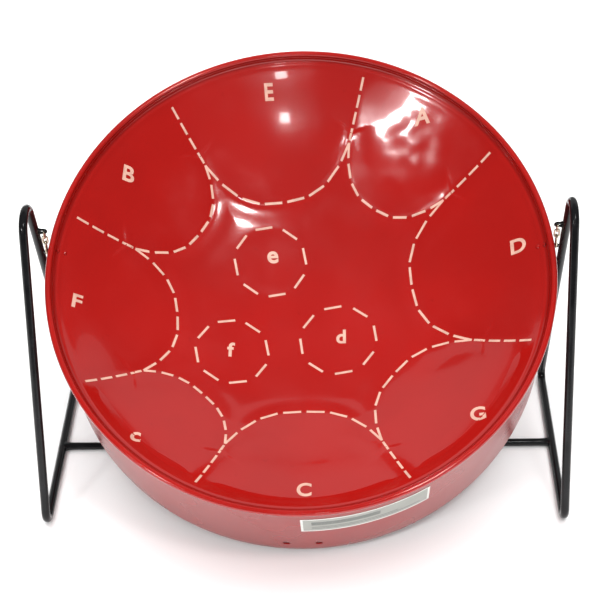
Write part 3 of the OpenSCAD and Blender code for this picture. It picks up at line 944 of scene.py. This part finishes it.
def staple_path(tip, top, low, place, flip):
    """Two legs and a half ring in the XZ plane of place: the legs end at x = top and x = low"""
    bend = EYE_PITCH / 2
    ring = arc_points((tip, bend), bend, -math.pi / 2, math.pi if tip > low else -math.pi, 24)
    return [place @ Vector((x * flip, 0, z)) for x, z in ((low, 0), *ring, (top, EYE_PITCH))]


class PAN_OT_hangers(bpy.types.Operator):
    """Bends the hanger eyes and hammers over the ends of their legs"""

    bl_idname = "steel_pan.hangers"
    bl_label = "Hanger eyes"

    def execute(self, context):
        props, stand = context.scene.steel_pan, context.scene.steel_pan_stand
        wire = stand.eye_wire / 2
        hinge = hinge_of("pan_tilt")
        place = (Matrix.Translation((0, hinge.y, hinge.z)) @ Matrix.Rotation(TILT, 4, "X")
                 @ Matrix.Translation((0, 0, -EYE_PITCH)))
        for side, flip in SIDES:
            inner, outer = reach_of(side + "_hanger_eye")
            path = staple_path(outer - EYE_PITCH / 2 - wire, inner + 6.2 * MM, inner, place, flip)
            eye = wire_object(side + "_eye_wire", path, False, wire, 20, black_rod_paint(stand.black))
            settle(eye, "pan", side + "_hanger_eye")
            # The upper leg ends flat on the wall, the lower one on the fillet of the dish
            inward = Vector((-flip, 0, 0))
            ends = ((Vector((flip * (inner + 6.0 * MM), hinge.y, hinge.z)), inward),
                    (place @ Vector((flip * (inner + 1.0 * MM), 0, 0)), (inward + AXIS * 0.95).normalized()))
            bm = bmesh.new()
            for spot, way in ends:
                turn = way.to_track_quat("Z", "Y").to_matrix().to_4x4()
                dome = bmesh.ops.create_uvsphere(bm, u_segments=24, v_segments=14, radius=1.85 * MM)["verts"]
                for v in dome:
                    v.co.z = max(v.co.z, -0.25 * MM) * 0.8
                    v.co *= 1 + 0.05 * noise.noise(v.co * 900)
                bmesh.ops.transform(bm, matrix=Matrix.Translation(spot) @ turn, verts=dome)
            mesh = bpy.data.meshes.new(side + "_hammered_heads")
            bm.to_mesh(mesh)
            bm.free()
            heads = make_object(side + "_hammered_heads", mesh, red_enamel(props.red))
            settle(heads, "pan", side + "_eye_heads")
        return {"FINISHED"}


# ---------- chains and stand ----------


class PAN_OT_chains(bpy.types.Operator):
    """Forms the three wire links of each chain"""

    bl_idname = "steel_pan.chains"
    bl_label = "Chains"

    def execute(self, context):
        stand = context.scene.steel_pan_stand
        wire = stand.link_wire / 2
        for side, _ in SIDES:
            for place in ("top", "middle", "bottom"):
                node = side + "_link_" + place
                low, high = box_of(node)
                mid, size = (low + high) / 2, high - low
                across = max(size.x, size.y) / 2 - wire
                half = size.z / 2 - wire - across
                flat = arc_points((0, half), across, 0, math.pi, 20)
                flat += arc_points((0, -half), across, math.pi, math.pi, 20)
                along = Vector((0, 1, 0) if size.y > size.x else (1, 0, 0))
                path = [mid + along * a + Vector((0, 0, b)) for a, b in flat]
                link = wire_object(side + "_wire_link_" + place, path, True, wire, 20, plated_wire(stand.plating))
                settle(link, side + "_chain", node)
        return {"FINISHED"}


def rounded(corners, bends):
    """A closed polygon with its corners replaced by arcs"""
    outline = []
    for i, corner in enumerate(corners):
        before = (corners[i - 1] - corner).normalized()
        after = (corners[(i + 1) % len(corners)] - corner).normalized()
        half = before.angle(after) / 2
        cut = bends[i] / math.tan(half)
        centre = corner + (before + after).normalized() * bends[i] / math.sin(half)
        first = corner + before * cut - centre
        last = corner + after * cut - centre
        start = math.atan2(first.y, first.x)
        sweep = (math.atan2(last.y, last.x) - start) % (2 * math.pi)
        outline += arc_points((centre.x, centre.y), bends[i], start, sweep, 28)
    return outline


def frame_path(low, high, rod):
    """Centre line of the rod triangle in (y, z), fitted to the frame's box in a few passes"""
    front, back, apex = low.y, high.y, high.z + 30 * MM
    for _ in range(40):
        middle = front + (back - front) * FRONT_SHARE
        corners = [Vector((front, rod)), Vector((back, rod)), Vector((middle, apex))]
        outline = rounded(corners, (FOOT_BEND, FOOT_BEND, APEX_BEND))
        ys, zs = zip(*outline)
        front += low.y + rod - min(ys)
        back += high.y - rod - max(ys)
        apex += high.z - rod - max(zs)
    return outline


class PAN_OT_frames(bpy.types.Operator):
    """Bends the two side frames"""

    bl_idname = "steel_pan.frames"
    bl_label = "Side frames"

    def execute(self, context):
        stand = context.scene.steel_pan_stand
        rod = stand.rod / 2
        for side, _ in SIDES:
            low, high = box_of(side + "_side_frame")
            path = [Vector(((low.x + high.x) / 2, y, z)) for y, z in frame_path(low, high, rod)]
            bent = wire_object(side + "_bent_rod", path, True, rod, 32, black_rod_paint(stand.black))
            settle(bent, "stand", side + "_side_frame")
        return {"FINISHED"}


class PAN_OT_bar(bpy.types.Operator):
    """Fits the cross bar and its two fillet welds"""

    bl_idname = "steel_pan.bar"
    bl_label = "Cross bar"

    def execute(self, context):
        stand = context.scene.steel_pan_stand
        material = black_rod_paint(stand.black)
        radius = stand.bar / 2
        low, high = box_of("cross_bar")
        mid = (low + high) / 2
        first, length = low.x + 0.3 * MM, high.x - low.x - 0.6 * MM
        path = [Vector((first + length * i / 60, mid.y, mid.z)) for i in range(61)]
        bar = wire_object("straight_cross_bar", path, False, radius, 32, material)
        settle(bar, "stand", "cross_bar")
        rings, sides = 22, 40
        for side, flip in SIDES:
            box_low, box_high = box_of(side + "_bar_weld")
            inner, outer = reach_of(side + "_bar_weld")
            outer += 0.4 * MM
            spread = (box_high.y - box_low.y) / 2 - radius
            verts = []
            for i in range(rings + 1):
                t = i / rings
                x = inner + (outer - inner) * t
                wide = radius + 0.12 * MM + spread * (t ** 2.6) * 0.92
                tall = radius + 0.08 * MM + 0.12 * MM * t
                for j in range(sides):
                    angle = 2 * math.pi * j / sides
                    wave = 1 + 0.03 * noise.noise(Vector((x * 900, *polar(2, angle)))) * min(1, 3 * t)
                    # The weld stays clear of the table
                    z = max(0.12 * MM, mid.z + tall * math.sin(angle) * wave)
                    verts.append(Vector((flip * x, mid.y + wide * math.cos(angle) * wave, z)))
            mesh = mesh_from(side + "_bar_fillet", verts, closed_tube(sides, rings + 1))
            settle(make_object(side + "_bar_fillet", mesh, material), "stand", side + "_bar_weld")
        return {"FINISHED"}


class PAN_OT_lugs(bpy.types.Operator):
    """Bends the lugs and lays the welds that hold them to the back legs"""

    bl_idname = "steel_pan.lugs"
    bl_label = "Lugs"

    def execute(self, context):
        stand = context.scene.steel_pan_stand
        material = black_rod_paint(stand.black)
        wire = stand.eye_wire / 2
        sides, rings = 28, 10
        for side, flip in SIDES:
            hinge = hinge_of(side + "_chain_swing")
            low, high = box_of(side + "_lug")
            tip, end = reach_of(side + "_lug")
            end += 0.6 * MM
            lean = math.asin(min(1, (high.y - low.y - stand.eye_wire) / EYE_PITCH))
            place = Matrix.Translation((0, hinge.y, hinge.z)) @ Matrix.Rotation(lean, 4, "X")
            path = staple_path(tip + EYE_PITCH / 2 + wire, end, end, place, flip)
            lug = wire_object(side + "_lug_wire", path, False, wire, 20, material)
            settle(lug, "stand", side + "_lug")
            near, far = reach_of(side + "_lug_weld")
            far += 0.3 * MM
            verts, faces = [], []
            for level in (0, 1):
                faces += closed_tube(sides, rings + 1, len(verts))
                for i in range(rings + 1):
                    t = i / rings
                    r = wire + (0.12 + 0.75 * t ** 1.7) * MM
                    for j in range(sides):
                        angle = 2 * math.pi * j / sides
                        along, up = polar(3, angle)
                        bumpy = r * (1 + 0.05 * noise.noise(Vector((t * 5, along + level * 4, up))))
                        y, z = polar(bumpy, angle)
                        verts.append(place @ Vector((flip * (near + (far - near) * t), y, z + level * EYE_PITCH)))
            mesh = mesh_from(side + "_lug_bead", verts, faces)
            settle(make_object(side + "_lug_bead", mesh, material), "stand", side + "_lug_weld")
        return {"FINISHED"}


# ---------- studio ----------


class PAN_OT_studio(bpy.types.Operator):
    """Sets the floor, the lights and the camera"""

    bl_idname = "steel_pan.studio"
    bl_label = "Studio"

    def lay_floor(self, colour):
        ring = [(x, y, 0) for x, y in arc_points((0, 0), FLOOR_RADIUS, 0, 2 * math.pi, 96)[:-1]]
        mesh = bpy.data.meshes.new("floor_plane")
        mesh.from_pydata(ring, [], [range(len(ring))])
        make_object("floor_plane", mesh, floor_paint(colour), smooth=False)

    def light(self, scene):
        scene.world = bpy.data.worlds.new("studio")
        scene.world.use_nodes = True
        sky = Tree(scene.world.node_tree)
        sky.tree.nodes.clear()
        seen = sky.node("ShaderNodeLightPath", output="Is Camera Ray")
        dim, pale = (sky.node("ShaderNodeBackground", None, {"Color": (1, 1, 1, 1), "Strength": strength})
                     for strength in (WORLD_LIGHT, WORLD_SEEN))
        sky.node("ShaderNodeOutputWorld", None,
                 {"Surface": sky.node("ShaderNodeMixShader", None, {0: seen, 1: dim, 2: pale})})
        for name, place, target, width, height, power, glossy in LAMPS:
            data = bpy.data.lights.new(name, "AREA")
            data.shape = "RECTANGLE"
            data.size = width
            data.size_y = height
            data.energy = power
            lamp = bpy.data.objects.new(name, data)
            way = (Vector(target) - Vector(place)).to_track_quat("-Z", "Y")
            lamp.matrix_world = Matrix.Translation(place) @ way.to_matrix().to_4x4()
            scene.collection.objects.link(lamp)
            lamp.visible_camera = False
            lamp.visible_glossy = glossy

    def execute(self, context):
        scene = context.scene
        props = scene.steel_pan_studio
        self.lay_floor(props.floor)
        self.light(scene)
        x, y = polar(math.cos(props.elevation), props.azimuth - math.pi / 2)
        back = Vector((x, y, math.sin(props.elevation)))
        right = (-back).cross(Vector((0, 0, 1))).normalized()
        up = right.cross(-back)
        cos, sin = math.cos(props.roll), math.sin(props.roll)
        turn = Matrix((right * cos + up * sin, up * cos - right * sin, back)).transposed().to_4x4()
        aim = hinge_of("left_chain_swing") + AIM_SHIFT
        aim.x = AIM_X
        data = bpy.data.cameras.new("camera")
        data.lens = props.lens
        data.sensor_width = 36
        camera = bpy.data.objects.new("camera", data)
        camera.matrix_world = Matrix.Translation(aim + back * props.distance) @ turn
        scene.collection.objects.link(camera)
        scene.camera = camera
        scene.view_settings.view_transform = "Standard"
        return {"FINISHED"}


class PAN_PT_panel(bpy.types.Panel):
    """Lists the steps that build the pan"""

    bl_idname = "PAN_PT_panel"
    bl_label = "Steel Pan"
    bl_space_type = "VIEW_3D"
    bl_region_type = "UI"
    bl_category = "Steel Pan"

    def draw(self, context):
        for operator in STEPS:
            self.layout.operator(operator.bl_idname)
        for group in GROUPS:
            props = getattr(context.scene, group)
            box = self.layout.box()
            for key in props.__annotations__:
                box.prop(props, key)


STEPS = (PAN_OT_bowl, PAN_OT_skirt, PAN_OT_rim, PAN_OT_label, PAN_OT_dashes, PAN_OT_letters, PAN_OT_hangers,
         PAN_OT_chains, PAN_OT_frames, PAN_OT_bar, PAN_OT_lugs, PAN_OT_studio)
GROUPS = {"steel_pan": PanProperties, "steel_pan_stand": StandProperties, "steel_pan_studio": StudioProperties}
CLASSES = (*GROUPS.values(), *STEPS, PAN_PT_panel)


def register():
    for cls in CLASSES:
        bpy.utils.register_class(cls)
    for name, group in GROUPS.items():
        setattr(bpy.types.Scene, name, PointerProperty(type=group))


def unregister():
    for name in GROUPS:
        delattr(bpy.types.Scene, name)
    for cls in reversed(CLASSES):
        bpy.utils.unregister_class(cls)


def main():
    register()
    for step in STEPS:
        group, name = step.bl_idname.split(".")
        getattr(getattr(bpy.ops, group), name)()


if __name__ == "__main__":
    main()
